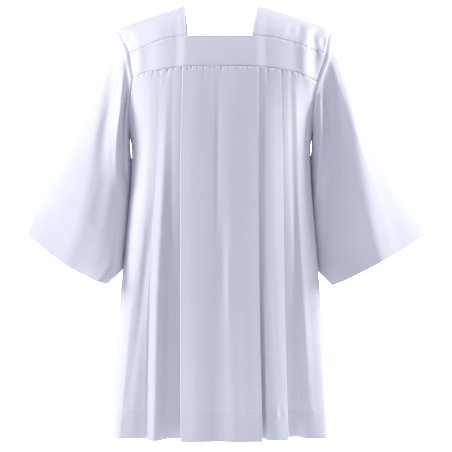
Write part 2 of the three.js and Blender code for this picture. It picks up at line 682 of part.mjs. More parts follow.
// A closed wall of cloth around a grid of points, rows of columns; a ring's rows close on themselves
function clothGeometry(rows, ring) {
  const width = rows[0].length;
  const direction = (from, to) => to.clone().sub(from).normalize();
  const outer = [];
  const inner = [];
  rows.forEach((row, j) => row.forEach((point, i) => {
    const before = ring ? row[(i + width - 1) % width] : row[i - 1];
    const after = ring ? row[(i + 1) % width] : row[i + 1];
    const across = new THREE.Vector3();
    if (before) across.add(direction(before, point));
    if (after) across.add(direction(point, after));
    const downward = new THREE.Vector3();
    if (j > 0) downward.add(direction(rows[j - 1][i], point));
    if (j < rows.length - 1) downward.add(direction(point, rows[j + 1][i]));
    const normal = across.cross(downward).normalize().multiplyScalar(WALL / 2);
    outer.push(point.clone().sub(normal));
    inner.push(point.clone().add(normal));
  }));
  const points = [...outer, ...inner];
  const faces = [];
  const quad = (a, b, c, d) => faces.push(a, b, c, a, c, d);
  const inside = outer.length;
  const spans = ring ? width : width - 1;
  for (let j = 0; j < rows.length - 1; j += 1) {
    for (let i = 0; i < spans; i += 1) {
      const [a, b] = [j * width + i, j * width + ((i + 1) % width)];
      quad(a, a + width, b + width, b);
      quad(inside + a, inside + b, inside + b + width, inside + a + width);
    }
  }
  for (let i = 0; i < spans; i += 1) {
    const [a, b] = [i, (i + 1) % width];
    const base = (rows.length - 1) * width;
    quad(a, b, inside + b, inside + a);
    quad(base + b, base + a, inside + base + a, inside + base + b);
  }
  if (!ring) {
    for (let j = 0; j < rows.length - 1; j += 1) {
      const [a, b] = [j * width, j * width + width - 1];
      quad(a + width, a, inside + a, inside + a + width);
      quad(b, b + width, inside + b + width, inside + b);
    }
  }
  let volume = 0;
  for (let k = 0; k < faces.length; k += 3) {
    const [a, b, c] = [points[faces[k]], points[faces[k + 1]], points[faces[k + 2]]];
    volume += a.dot(b.clone().cross(c)) / 6;
  }
  if (volume < 0) faces.reverse();
  const geometry = new THREE.BufferGeometry().setFromPoints(points);
  geometry.setIndex(faces);
  geometry.computeVertexNormals();
  return geometry;
}

function clothMaterial(colour) {
  return new THREE.MeshStandardMaterial({ color: colour, roughness: 0.7, metalness: 0 });
}

function bandGrid(face) {
  const edge = 1 - SEAM_GAP / 2 / ARMHOLE[0].right;
  return Array.from({ length: BAND_ROWS + 1 }, (_, j) =>
    Array.from({ length: BAND_COLUMNS + 1 }, (_, i) =>
      bandPoint(face, edge * ((2 * i) / BAND_COLUMNS - 1), j / BAND_ROWS)));
}

function shoulderGrid(side) {
  const seamTurn = 1 - SEAM_GAP / 2 / ARMHOLE[0].drop;
  return Array.from({ length: SHOULDER_ROWS + 1 }, (_, j) =>
    Array.from({ length: SHOULDER_COLUMNS + 1 }, (_, i) =>
      shoulderPoint(side, i / SHOULDER_COLUMNS, seamTurn * ((2 * j) / SHOULDER_ROWS - 1))));
}

const CLOTH_COLOUR = 0xeeeef6;
const group = new THREE.Group();

function addPiece(name, rows, ring = false) {
  const mesh = new THREE.Mesh(clothGeometry(rows, ring), clothMaterial(CLOTH_COLOUR));
  mesh.name = name;
  group.add(mesh);
}

for (const face of Object.keys(FACES)) {
  addPiece(`${face}_band`, bandGrid(face));
  addPiece(`${face}_skirt`, skirtGrid(face, face === "front" ? FRONT_PANELS : BACK_PANELS));
}
for (const side of Object.keys(SIDES)) {
  addPiece(`shoulder_${side}`, shoulderGrid(side));
  addPiece(`sleeve_${side}`, sleeveGrid(side), true);
}

export default group;
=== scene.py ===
"""A white pleated rochet with a square neck, filled out as it is worn, with its cloth modelled as sheets.

Sizes are in millimetres, as a maker would give them, and become metres when a mesh is made.
The front faces -Y, the wearer's left is +X, and heights are given as drops below the neck.
"""

import math

import bpy
import numpy as np
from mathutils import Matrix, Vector


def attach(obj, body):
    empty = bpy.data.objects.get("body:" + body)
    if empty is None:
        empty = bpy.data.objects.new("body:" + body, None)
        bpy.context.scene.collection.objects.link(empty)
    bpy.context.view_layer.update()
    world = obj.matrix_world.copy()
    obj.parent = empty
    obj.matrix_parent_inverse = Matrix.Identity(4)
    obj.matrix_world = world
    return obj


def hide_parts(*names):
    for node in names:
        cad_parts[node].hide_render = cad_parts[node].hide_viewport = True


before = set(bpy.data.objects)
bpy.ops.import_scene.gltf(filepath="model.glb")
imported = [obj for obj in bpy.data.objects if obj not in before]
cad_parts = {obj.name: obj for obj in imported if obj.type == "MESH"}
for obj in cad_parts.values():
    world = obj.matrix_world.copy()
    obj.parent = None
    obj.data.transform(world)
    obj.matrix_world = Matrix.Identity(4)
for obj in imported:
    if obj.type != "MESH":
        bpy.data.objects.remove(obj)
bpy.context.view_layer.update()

MM = 0.001
SIDES = {"right": -1, "left": 1}
FACES = {"front": -1, "back": 1}


def table(columns, *rows):
    """A short table, as the values of each named column."""
    return dict(zip(columns.split(), np.array(rows, float).T))


# Cloth and seams
SEAM_GAP = 0.5
UNDERARM_GAP = 2.2
SEAM_LEAD = 5
FOLD_RADIUS = 0.45
FOLD_ANGLES = np.array([0.25, 0.5, 0.75]) * np.pi
EDGE_TURN = 9
HEM_DEPTH = 60
SLEEVE_HEM_DEPTH = 55
SLEEVE_HEM_STITCHES = 53

# Levels
UNDERARM_DROP = 288
HEM_DROP = 960
HEM_SIDE_DIP = 4
HEM_HALF_WIDTH = 240

# Pleats: how far one pleat lifts the cloth at the band, and how the pleats open towards the hem
PLEAT_LIFT = 4.2
PLEAT_RAMPS = [(180, 118), (100, 75)]
LAYER_SPREAD = 5
FOLD_BULGE = 2
PLEATS_FROM = 150
OPENING_POWER = 1.25

# The filled-out body: half widths to each side, and depths before and behind the side seams
ROUNDNESS = 2.4
BODY = table(
    "drop right left front back",
    (70, 262, 290, 84, 80),
    (113, 236, 270, 96, 92),
    (165, 228, 250, 107, 102),
    (200, 225, 232, 111, 106),
    (240, 216, 214, 115, 109),
    (288, 205, 204, 117, 111),
    (330, 200, 200, 118, 112),
    (400, 202, 202, 118, 112),
    (450, 207, 206, 118, 112),
    (550, 216, 214, 118, 112),
    (640, 225, 222, 118, 112),
    (860, 237, 235, 118, 112),
    (970, 244, 243, 118, 112),
)
ARMHOLE = table(
    "drop right left",
    (113, 203, 232),
    (145, 195, 219),
    (165, 194, 213),
    (200, 199, 205.5),
    (240, 204, 202.5),
    (UNDERARM_DROP, 205, 204),
)

# Shoulders: the ridge runs out from the neck, and the seams to the bands run below it
NECK_TOP = {"right": 82, "left": 87}
NECK_CORNER = {"right": 74, "left": 67}
SHOULDER_TIP = {"right": 236, "left": 247}
RIDGE = table("out drop", (0, 0), (0.63, 32), (0.82, 43), (0.94, 51), (1, 57))
SHOULDER_SEAM = table(
    "out drop",
    (0, 77), (0.25, 80), (0.44, 86), (0.63, 94), (0.75, 101), (0.86, 107), (1, 113),
)
SHOULDER_FULLNESS = 0.72
SHOULDER_FALL = 7

# The seam between the bands and the skirts, by distance from the middle
CORNER_PASSES = 8
BAND_SEAM = table(
    "x drop",
    (0, 145.5), (82, 147), (115, 150), (150, 154), (170, 159), (190, 167), (215, 177),
)

# Soft upright creases of the bands and the skirts' tops beside the armholes
CREASE_LIMIT = 0.93
CHEST_CREASES = {
    "front": table(
        "x top bottom width height",
        (182, 70, 260, 13, 5),
        (206, 70, 230, 12, -6),
        (-178, 90, 250, 12, 3),
    ),
    "back": table("x top bottom width height", (184, 75, 250, 13, 3), (-186, 70, 270, 14, 4)),
}

# Stops of each panel across a skirt: x at the band, chest, knee and hem levels, the number of pleats
# it lies on at the band, and how far before (or behind) the side seams it hangs at the hem
LEVELS = np.array([150, 400, 700, 960])
EDGE_MARGIN = 3
STOP_COLUMNS = "band chest knee hem pleats depth".split()
# From the wearer's right: outer part, tier, centre, tier, outer part
PANELS = {
    "front": [
        [
            (-191, -199.5, -226, -241, 0, 15),
            (-189, -193, -219, -235, 0, 38),
            (-168, -172, -190, -200, 0, 49),
            (-140, -150, -165, -168, 0, 44),
            (-76, -92, -118, -136, 0, 34),
        ],
        [
            (-128.5, -141, -154.5, -158.6, 1, 90),
            (-115, -126, -138, -140, 1, 97),
            (-104, -110, -118, -120, 1, 70),
            (-86, -90, -90, -88, 1, 60),
            (-32, -38, -48, -56, 1, 50),
        ],
        [
            (-81.2, -86.7, -86.5, -85.4, 2, 120),
            (-48, -50, -50, -48, 2, 126),
            (-12, -8, -6, -5, 1.6, 121),
            (24, 22, 26, 32, 2, 127),
            (54, 54, 58, 62, 2, 124),
            (81.2, 80.5, 84, 90.7, 2, 119),
        ],
        [
            (32, 38, 50, 58, 1, 50),
            (84, 82, 87, 93, 1, 60),
            (98, 94, 98, 105, 1, 90),
            (114, 113, 118, 126, 1, 95),
            (130.7, 135.4, 139.6, 147.8, 1, 86),
        ],
        [
            (76, 86, 106, 116, 0, 26),
            (135, 140, 150, 152, 0, 29),
            (152, 158, 170, 173, 0, 24),
            (168, 172, 186, 197, 0, 48),
            (193, 194, 219, 234, 0, 40),
            (202, 199.5, 225, 239.5, 0, 15),
        ],
    ],
    "back": [
        [
            (-191, -199.5, -226, -241, 0, 15),
            (-187, -190, -212, -227, 0, 34),
            (-168, -172, -190, -198, 0, 44),
            (-140, -150, -163, -166, 0, 38),
            (-76, -92, -117, -132, 0, 30),
        ],
        [
            (-129, -139, -150, -155, 1, 92),
            (-114, -121, -129, -131, 1, 76),
            (-86, -90, -92, -92, 1, 57),
            (-32, -38, -48, -56, 1, 49),
        ],
        [
            (-81, -84, -86, -88, 2, 109),
            (-44, -46, -48, -50, 2, 116),
            (-4, 4, 10, 14, 1.7, 112),
            (42, 44, 47, 50, 2, 117),
            (81, 83, 86, 88, 2, 108),
        ],
        [
            (32, 38, 48, 56, 1, 49),
            (86, 88, 90, 94, 1, 60),
            (112, 116, 122, 128, 1, 80),
            (130, 137, 146, 152, 1, 90),
        ],
        [
            (76, 92, 114, 127, 0, 28),
            (138, 146, 158, 162, 0, 34),
            (166, 171, 188, 196, 0, 46),
            (189, 190, 211, 226, 0, 34),
            (202, 199.5, 225, 239.5, 0, 15),
        ],
    ],
}

# Gathers where the skirts are eased into the bands: a short nick at the seam at each x, and a shallow
# trough that runs down from it and leans aside by the amount given
COVER_MARGIN = 5
PUCKER_COLUMNS = "x lean depth length width"
PUCKERS = {
    "front": table(
        PUCKER_COLUMNS,
        (-178, -2, 1.0, 14, 2.2),
        (-166, -3, 1.4, 20, 2.6),
        (-155, -1, 0.9, 12, 2.0),
        (-147, -2, 2.0, 28, 2.4),
        (-137, 1, 1.2, 14, 2.0),
        (-114.6, -9, 2.6, 38, 2.8),
        (-101, -2, 1.2, 14, 2.0),
        (-85.2, 0, 1.9, 22, 2.2),
        (-71.4, 1, 2.1, 26, 2.0),
        (-64, -1, 2.2, 24, 2.0),
        (-51.3, 0, 1.8, 18, 1.9),
        (-38.3, 1, 3.0, 44, 2.5),
        (-30, 0, 1.0, 10, 1.8),
        (-21.8, -1, 1.9, 22, 2.0),
        (-13.6, 0, 2.0, 24, 1.9),
        (1.5, 1, 3.0, 34, 2.3),
        (8, 0, 0.9, 9, 1.7),
        (15.6, 0, 1.8, 20, 2.0),
        (32, -1, 2.0, 24, 2.1),
        (39.2, 1, 1.7, 15, 1.9),
        (56.7, 1, 3.0, 36, 2.4),
        (69.5, 0, 1.4, 14, 1.9),
        (100.8, 3, 2.8, 52, 2.8),
        (115, 0, 1.0, 10, 2.0),
        (130.6, 2, 2.4, 30, 2.4),
        (142, 1, 1.3, 16, 2.1),
        (153, 2, 1.9, 24, 2.4),
        (166, 3, 1.3, 18, 2.4),
        (178, 2, 1.6, 22, 2.4),
    ),
    "back": table(
        PUCKER_COLUMNS,
        (-176, -2, 1.2, 16, 2.3),
        (-160, -2, 1.8, 24, 2.5),
        (-146, -1, 1.2, 14, 2.1),
        (-118, -5, 2.4, 34, 2.7),
        (-104, 0, 1.3, 16, 2.1),
        (-88, 0, 1.8, 22, 2.1),
        (-66, 1, 2.0, 24, 2.2),
        (-58, 0, 1.1, 12, 1.8),
        (-49, -1, 2.7, 36, 2.4),
        (-33, 0, 1.7, 20, 2.0),
        (-18, 1, 2.6, 38, 2.4),
        (-8, 0, 1.0, 11, 1.8),
        (3, 0, 1.9, 24, 2.0),
        (17, -1, 2.9, 32, 2.4),
        (33, 0, 1.7, 20, 1.9),
        (48, 1, 2.3, 30, 2.2),
        (66, 0, 1.8, 22, 2.0),
        (104, 3, 2.5, 42, 2.7),
        (119, 1, 1.3, 16, 2.1),
        (136, 2, 1.9, 24, 2.4),
        (152, 1, 1.5, 20, 2.4),
        (170, 3, 1.3, 18, 2.6),
    ),
}
NICK_LENGTH = 4.6
NICK_WIDTH = 1.3
TROUGH_SHARE = 0.42
TROUGH_FADE = 1.5
TROUGH_SPREAD = (0.8, 2.0)
GATHER_RISE = 1.6
GATHER_RISE_LENGTH = 30

# Long creases of the skirts: the panel each is on, x at its top and foot, the drops it runs between,
# its half width, and its height above the cloth as a ridge, or depth below it as a hollow
CREASE_COLUMNS = "panel head foot top bottom width height"
SKIRT_CREASES = {
    "front": table(
        CREASE_COLUMNS,
        (2, -6, -9, 148, 540, 6, -1.5),
        (2, 3, 5, 470, 690, 9, -1.6),
        (2, 14, 18, 560, 730, 5, 1.3),
        (2, -46, -54, 220, 800, 18, -1.4),
        (2, 44, 60, 560, 960, 18, -1.8),
        (2, -22, -14, 760, 960, 14, -1.2),
        (1, -106, -119, 330, 960, 7, -3),
        (1, -122, -146, 300, 960, 9, 1.6),
        (1, -92, -98, 400, 960, 8, 1.4),
        (3, 92, 105, 330, 960, 7, 4),
        (3, 112, 130, 520, 960, 7, -1),
        (0, -148, -207, 440, 910, 11, -3.6),
        (0, -156, -172, 520, 960, 6, 1.6),
        (0, -176, -222, 420, 960, 9, 2.4),
        (4, 146, 190, 380, 960, 9, 4.2),
        (4, 176, 212, 330, 930, 12, -2.6),
        (4, 160, 178, 180, 460, 10, 1.8),
    ),
    "back": table(
        CREASE_COLUMNS,
        (2, -30, -38, 150, 620, 12, -1.5),
        (2, 8, 14, 300, 760, 9, 1.4),
        (2, 40, 56, 440, 960, 16, -1.8),
        (2, -56, -62, 520, 960, 13, -1.4),
        (1, -110, -122, 330, 960, 8, -2.4),
        (1, -118, -142, 280, 960, 9, 3.2),
        (3, 110, 122, 340, 960, 8, -2.4),
        (3, 120, 140, 280, 960, 9, 3.2),
        (0, -152, -206, 420, 920, 11, -3.2),
        (0, -172, -220, 420, 960, 9, 2.4),
        (4, 152, 200, 400, 940, 11, -3.2),
        (4, 170, 216, 420, 960, 9, 2.6),
    ),
}
RIDGE_ROUNDING = 1.5
CREASE_FADE = 0.8

# Small puckers where the hem is sewn: x, half width and height at the stitch line
HEM_PUCKERS = {
    "front": table(
        "x width height",
        (-206, 6, 0.9), (-186, 4, -0.8), (-134, 4, 1.3), (-122, 5, -1.1), (-30, 6, 0.5), (24, 7, -0.5),
        (122, 4, 1.3), (131, 3.5, -1.1), (140, 4, 1.0), (178, 4, 1.2), (190, 5, -1.2), (204, 5, 0.9),
    ),
    "back": table(
        "x width height",
        (-196, 5, 0.9), (-142, 4, 1.1), (-128, 5, -1.0), (-56, 6, 0.5), (12, 6, -0.5),
        (70, 5, 0.6), (130, 4, 1.1), (144, 4, -0.9), (188, 5, 1.0), (206, 5, -0.8),
    ),
}
HEM_GROOVE = -0.45
HEM_GROOVE_WIDTH = 1.6
HEM_PUCKER_REACH = 11

# Seams: how far the cloth sinks beside one and how wide, how the sleeve heads swell past theirs, how far
# from the neck edge its stitches run, and how far their groove sinks
SEAM_SINK = -1.3
SEAM_SINK_WIDTH = 2.1
HEAD_SWELL = 1.7
HEAD_SWELL_AT = 8
HEAD_SWELL_WIDTH = 6
NECK_STITCHES = 6.5
NECK_GROOVE = -0.35

# Soft creases of the shoulders above their front and back seams: places out from the neck and round
# from the front seam (-1) to the back one (1)
SHOULDER_CREASES = {
    "right": table(
        "out turn wide long height",
        (0.35, -0.9, 0.05, 0.14, -0.6),
        (0.9, -0.62, 0.05, 0.2, -1.2),
        (0.55, 0.85, 0.05, 0.16, -1.0),
        (0.8, 0.8, 0.05, 0.18, 1.0),
    ),
    "left": table(
        "out turn wide long height",
        (0.5, -0.72, 0.05, 0.16, -1.6),
        (0.62, -0.66, 0.045, 0.15, -2.8),
        (0.71, -0.74, 0.04, 0.16, 1.8),
        (0.8, -0.7, 0.04, 0.14, -2.8),
        (0.87, -0.78, 0.035, 0.14, 1.6),
        (0.94, -0.74, 0.035, 0.14, -2.4),
        (0.6, 0.8, 0.05, 0.16, -1.4),
        (0.84, 0.78, 0.045, 0.16, 1.4),
    ),
}

# Nicks along the shoulder seams, by how far out they are
SEAM_NICKS = {
    "right": table("out depth", (0.3, 0.5), (0.52, 0.4), (0.74, 0.7), (0.88, 0.8)),
    "left": table(
        "out depth",
        (0.22, 0.5), (0.36, 0.7), (0.47, 1.0), (0.56, 1.3),
        (0.63, 1.1), (0.71, 1.5), (0.79, 1.2), (0.87, 1.5),
    ),
}
SEAM_NICK_WIDTH = 2
SEAM_NICK_LENGTH = 7

# Sleeves: the cuff's outer and inner ends, as x, y and drop, and its loop between them: the share of the
# way across, how far in front of the line between the ends, and how far it sags, which each sleeve
# scales. Around a sleeve, 0 is the shoulder side, 0.25 the front, 0.5 the body side and 0.75 the back.
CUFF_ENDS = {
    "right": {"outer": (436, 4, 512), "inner": (253, 16, 622)},
    "left": {"outer": (454, 4, 515), "inner": (248, 16, 627)},
}
CUFF_SAG = {"right": 1.2, "left": 0.3}
CUFF_LOOP = {
    "right": table(
        "around across front sag",
        (0, 0, 0, 0),
        (0.06, 0.11, 12, 3),
        (0.12, 0.24, 24, 6),
        (0.18, 0.37, 35, 9),
        (0.24, 0.51, 47, 10),
        (0.3, 0.66, 57, 9),
        (0.36, 0.81, 70, 6),
        (0.41, 0.92, 78, 3),
        (0.46, 0.985, 60, 0),
        (0.5, 1, -4, 0),
        (0.55, 0.96, -24, 0),
        (0.65, 0.75, -44, 3),
        (0.78, 0.45, -46, 5),
        (0.9, 0.18, -26, 3),
        (1, 0, 0, 0),
    ),
    "left": table(
        "around across front sag",
        (0, 0, 0, 0),
        (0.06, 0.12, 18, 3),
        (0.12, 0.25, 34, 6),
        (0.18, 0.38, 49, 9),
        (0.235, 0.51, 58, 10),
        (0.3, 0.67, 55, 9),
        (0.36, 0.82, 49, 6),
        (0.41, 0.925, 39, 3),
        (0.46, 0.985, 17, 0),
        (0.5, 1, -4, 0),
        (0.55, 0.96, -24, 0),
        (0.65, 0.75, -44, 3),
        (0.78, 0.45, -46, 5),
        (0.9, 0.18, -26, 3),
        (1, 0, 0, 0),
    ),
}

# How far the body side of a sleeve is drawn in towards the body and back behind its side seam, by the
# share of the way down, with each sleeve's share of it and how closely it keeps to the body side
TUCK = table(
    "down inward back",
    (0, 0, 0),
    (0.1, 8.5, 12),
    (0.25, 19, 24),
    (0.5, 26, 30),
    (0.75, 30, 30),
    (0.88, 31, 20),
    (1, 0, 0),
)
TUCK_SHARE = {"right": 0.95, "left": 0.88}
TUCK_POWER = {"inward": 3, "back": 7}

# Folds along the sleeves, ridges standing out and hollows sunk in: where each runs around the sleeve at
# its top, middle and cuff, the shares of the way down at which it starts and ends, its width around the
# sleeve, its height, and how rounded a ridge's top is
FOLDS_START = 0.1
FOLD_FADE = 0.55
FOLD_TURN = 0.3
FOLD_COLUMNS = "top middle cuff start end width height rounding"
SLEEVE_FOLDS = {
    "right": table(
        FOLD_COLUMNS,
        (0.03, 0.19, 0.235, -0.1, 1.2, 0.07, 4, 0.03),
        (0.05, 0.26, 0.34, -0.05, 0.75, 0.05, -4, 0),
        (0.16, 0.4, 0.5, -0.1, 0.6, 0.035, 9, 0.02),
        (0.24, 0.48, 0.51, 0, 0.42, 0.034, -15, 0),
        (0.96, 0.86, 0.8, -0.1, 1.4, 0.07, 10, 0.01),
        (0.86, 0.73, 0.68, 0.05, 1.1, 0.05, -11, 0),
        (0.76, 0.63, 0.58, 0.05, 1.0, 0.04, 10, 0.01),
    ),
    "left": table(
        FOLD_COLUMNS,
        (0.04, 0.17, 0.24, -0.1, 1.4, 0.07, 12, 0.03),
        (0.17, 0.35, 0.44, -0.1, 1.1, 0.035, -7, 0),
        (0.27, 0.44, 0.48, 0.05, 1.0, 0.03, 13, 0.01),
        (0.21, 0.4, 0.5, -0.1, 0.4, 0.03, -12, 0),
        (0.95, 0.87, 0.82, -0.1, 1.4, 0.07, 10, 0.01),
        (0.86, 0.75, 0.7, 0.05, 1.2, 0.05, -10, 0),
        (0.76, 0.65, 0.6, 0.05, 1.0, 0.04, 10, 0.01),
    ),
}

ARMHOLE_STEPS = 24
INSET = 0.02
UNDERARM_FROM = 0.45
UNDERARM_WHOLLY = 0.85
LEAD_FADE = 0.02


def mix(a, b, share):
    return a + (b - a) * share


def smooth(start, end, at):
    share = np.clip((np.asarray(at, float) - start) / (end - start), 0, 1)
    return share * share * (3 - 2 * share)


def read(rows, key, column, at):
    """The value of a table's column, on a curve through its rows that never overshoots them."""
    x, y = rows[key], rows[column]
    at = np.clip(np.asarray(at, float), x[0], x[-1])
    step = np.diff(x)
    slope = np.diff(y) / step
    before, after = slope[:-1], slope[1:]
    agree = before * after > 0
    between = np.where(agree, 2 * before * after / np.where(agree, before + after, 1), 0)
    tangent = np.concatenate([slope[:1], between, slope[-1:]])
    i = np.clip(np.searchsorted(x, at) - 1, 0, len(step) - 1)
    t = (at - x[i]) / step[i]
    return (
        (2 * t**3 - 3 * t**2 + 1) * y[i]
        + (t**3 - 2 * t**2 + t) * step[i] * tangent[i]
        + (3 * t**2 - 2 * t**3) * y[i + 1]
        + (t**3 - t**2) * step[i] * tangent[i + 1]
    )


def read_side(rows, x, drop):
    """A table's right or left column, by which side each x is on."""
    return np.where(x < 0, read(rows, "drop", "right", drop), read(rows, "drop", "left", drop))


def bell(distance, width):
    return np.exp(-((distance / width) ** 2))


def crest(distance, width, rounding):
    """A ridge that falls away from a narrow rounded top."""
    return np.exp((rounding - np.hypot(distance, rounding)) / width)


def unit(vectors):
    return vectors / np.maximum(np.linalg.norm(vectors, axis=-1, keepdims=True), 1e-9)


def catmull(stops, places):
    """Points between stops (stops x rows x 3), as rows x places x 3."""
    last = len(stops) - 1
    i = np.minimum(np.floor(places).astype(int), last - 1)
    t = (places - i)[:, None, None]
    b, c = stops[i], stops[i + 1]
    a = np.where((i > 0)[:, None, None], stops[np.maximum(i - 1, 0)], 2 * b - c)
    d = np.where((i < last - 1)[:, None, None], stops[np.minimum(i + 2, last)], 2 * c - b)
    points = 2 * b + (c - a) * t + (2 * a - 5 * b + 4 * c - d) * t**2 + (3 * b - a - 3 * c + d) * t**3
    return np.swapaxes(points / 2, 0, 1)


def body_depth(face, x, drop):
    """How far before or behind the side seams the plain body lies."""
    share = np.minimum(np.abs(x) / read_side(BODY, x, drop), 1)
    plain = read(BODY, "drop", face, drop) * np.sqrt(1 - share**ROUNDNESS)
    rows = CHEST_CREASES[face]
    creases = 0
    for at, top, bottom, width, height in zip(*rows.values()):
        along = np.clip((drop - top) / (bottom - top), 0, 1)
        creases = creases + height * np.sin(np.pi * np.sqrt(along)) ** 2 * bell(x - at, width)
    return plain + smooth(1, CREASE_LIMIT, share) * creases


def pleat_stack(x):
    """How far the pleats beneath push a band out."""
    return PLEAT_LIFT * sum(smooth(outer, inner, np.abs(x)) for outer, inner in PLEAT_RAMPS)


def body_point(face, x, drop, lift=0):
    return np.stack([x, FACES[face] * (body_depth(face, x, drop) + lift), -drop], -1)


def band_seam(x):
    return read(BAND_SEAM, "x", "drop", np.abs(x))


def band_corner(side):
    """The end of a band's lower seam, on the armhole."""
    x = ARMHOLE[side][2]
    for _ in range(CORNER_PASSES):
        x = read(ARMHOLE, "drop", side, band_seam(x))
    return float(x)


def shoulder_points(side, out, turn):
    """out runs from the neck edge (0) to the armhole (1), turn from the front seam (-1) to the back (1)."""
    sign = SIDES[side]
    zero = np.zeros_like(out * turn)
    ridge_x = sign * mix(NECK_TOP[side], SHOULDER_TIP[side], out) + zero
    ridge_drop = read(RIDGE, "out", "drop", out) + zero
    x = sign * mix(NECK_CORNER[side], ARMHOLE[side][0], out) + zero
    drop = read(SHOULDER_SEAM, "out", "drop", out) + zero
    front = -(body_depth("front", x, drop) + pleat_stack(x))
    back = body_depth("back", x, drop) + pleat_stack(x)
    seam_y = np.where(turn < 0, front, back)
    ridge = np.stack([ridge_x, zero, -ridge_drop], -1)
    seam = np.stack([x, seam_y, -drop], -1)
    middle = np.stack([(ridge_x + x) / 2, SHOULDER_FULLNESS * seam_y, -ridge_drop - SHOULDER_FALL], -1)
    t = (np.abs(turn) + zero)[..., None]
    return ridge * (1 - t) ** 2 + middle * 2 * t * (1 - t) + seam * t**2


def band_points(face, across, down):
    """across runs from the right armhole (-1) to the left (1), down from the neck (0) to the skirt (1)."""
    across = across + np.zeros_like(down)
    down = down + np.zeros_like(across)
    share = np.abs(across)

    def by_side(values):
        return np.where(across < 0, values["right"], values["left"])

    first = by_side({side: ARMHOLE[side][0] for side in SIDES})
    neck = by_side(NECK_CORNER) / first
    out = np.maximum((share - neck) / (1 - neck), 0)
    top = read(SHOULDER_SEAM, "out", "drop", out) + SEAM_GAP / 2
    corner = by_side({side: band_corner(side) for side in SIDES})
    x = np.sign(across) * share * mix(first, corner, down)
    return body_point(face, x, mix(top, band_seam(x) - SEAM_GAP / 2, down), pleat_stack(x))


def skirt_edge(side, drop):
    low = drop >= UNDERARM_DROP
    return SIDES[side] * np.where(low, read(BODY, "drop", side, drop), read(ARMHOLE, "drop", side, drop))


def side_of(x):
    return "right" if x < 0 else "left"


def stop_points(face, stop, down):
    """The places of a stop at shares of the way down a skirt."""
    edge = stop.get("edge")
    side = edge or side_of(stop["band"])
    seam = band_seam(band_corner(edge) if edge else stop["band"])
    aside = 1 if edge else min(abs(stop["hem"]) / HEM_HALF_WIDTH, 1)
    drop = mix(seam + SEAM_GAP / 2, HEM_DROP + HEM_SIDE_DIP * aside**2, down)
    if edge:
        return body_point(face, skirt_edge(side, drop), drop)
    opened = np.maximum((drop - PLEATS_FROM) / (HEM_DROP - PLEATS_FROM), 0) ** OPENING_POWER
    stages = {"level": LEVELS, "x": np.array([stop[k] for k in STOP_COLUMNS[:4]])}
    x = read(stages, "level", "x", drop)
    limit = np.abs(skirt_edge(side, drop)) - EDGE_MARGIN
    x = np.sign(x) * np.minimum(np.abs(x), limit)
    pressed = body_depth(face, x, drop) + PLEAT_LIFT * stop["pleats"]
    return np.stack([x, FACES[face] * mix(pressed, stop["depth"], opened), -drop], -1)


def skirt_layers(face):
    """Every layer across a skirt, in order: panels, and the hidden layers between them."""
    layers = []
    panels = [[dict(zip(STOP_COLUMNS, stop)) for stop in panel] for panel in PANELS[face]]
    panels[0].insert(0, {"edge": "right"})
    panels[-1].append({"edge": "left"})
    middle = len(panels) // 2
    for i, stops in enumerate(panels):
        if i > 0:
            before, after = panels[i - 1][-1], stops[0]
            rises = after["pleats"] > before["pleats"]
            low, high = (before, after) if rises else (after, before)
            pleats = (low["pleats"] + high["pleats"]) / 2
            near = {**low, "pleats": pleats, "depth": low["depth"] + LAYER_SPREAD}
            far = {**high, "pleats": pleats, "depth": high["depth"] - LAYER_SPREAD}
            turn = 1 if rises else -1
            layers.append({"panel": None, "turn": turn, "stops": [near, far] if rises else [far, near]})
        cover = None
        if i < middle:
            cover = (-1, panels[i + 1][0])
        elif i > middle:
            cover = (1, panels[i - 1][-1])
        layers.append({"panel": i, "cover": cover, "stops": stops})
    return layers


# How finely the sheets are divided. Down a skirt the rows lie close at the nicks, the gathers, the
# stitching and the hem.
COLUMN_STEP = 4.5
PUCKER_STEPS = (-5, -3.2, -2, -1.2, -0.6, 0, 0.6, 1.2, 2, 3.2, 5)
EDGE_STEPS = (0.7, 1.5, 2.4, 3.6)
CLOSEST_COLUMNS = 0.55
HIDDEN_STEPS = 6
TURN_STEPS = 5
NICK_ROWS_END = 12
GATHER_ROWS_END = 42
STITCHING_ROWS = (-10, 12)
STITCHING_CLEARANCE = 6
ROW_STEPS = {"nicks": 0.8, "gathers": 1.8, "plain": 8.5, "stitching": 1.1, "hem": 4}
BAND_COLUMNS = 321
BAND_ROWS = 64
SHOULDER_COLUMNS = 101
SHOULDER_ROWS = 161
SLEEVE_COLUMNS = 216
SLEEVE_LENGTH = 495
SLEEVE_HEAD_END = 30
SLEEVE_HEAD_STEP = 1.5
SLEEVE_PLAIN_END = 429
SLEEVE_PLAIN_STEP = 5
SLEEVE_HEM_START = 431
SLEEVE_HEM_ROWS = 30
EDGE_CLOSENESS = 3


def layer_places(face, layer):
    """Where a layer has its columns, as places between its stops."""
    last = len(layer["stops"]) - 1
    if layer["panel"] is None:
        return np.linspace(0, last, HIDDEN_STEPS + 1)
    tops = np.concatenate([stop_points(face, stop, np.zeros(1))[:, 0] for stop in layer["stops"]])
    wanted = list(range(last + 1))
    xs = [float(x) for x in tops]
    inside = [x + step for x in PUCKERS[face]["x"] for step in PUCKER_STEPS]
    inside += [tops[0] + step for step in EDGE_STEPS] + [tops[-1] - step for step in EDGE_STEPS]
    even = np.arange(tops[0], tops[-1], COLUMN_STEP)
    for x in [*inside, *even]:
        apart = CLOSEST_COLUMNS if x in inside else COLUMN_STEP / 2
        if tops[0] < x < tops[-1] and min(abs(x - other) for other in xs) > apart:
            xs.append(x)
            wanted.append(float(np.interp(x, tops, np.arange(last + 1))))
    return np.sort(np.array(wanted))


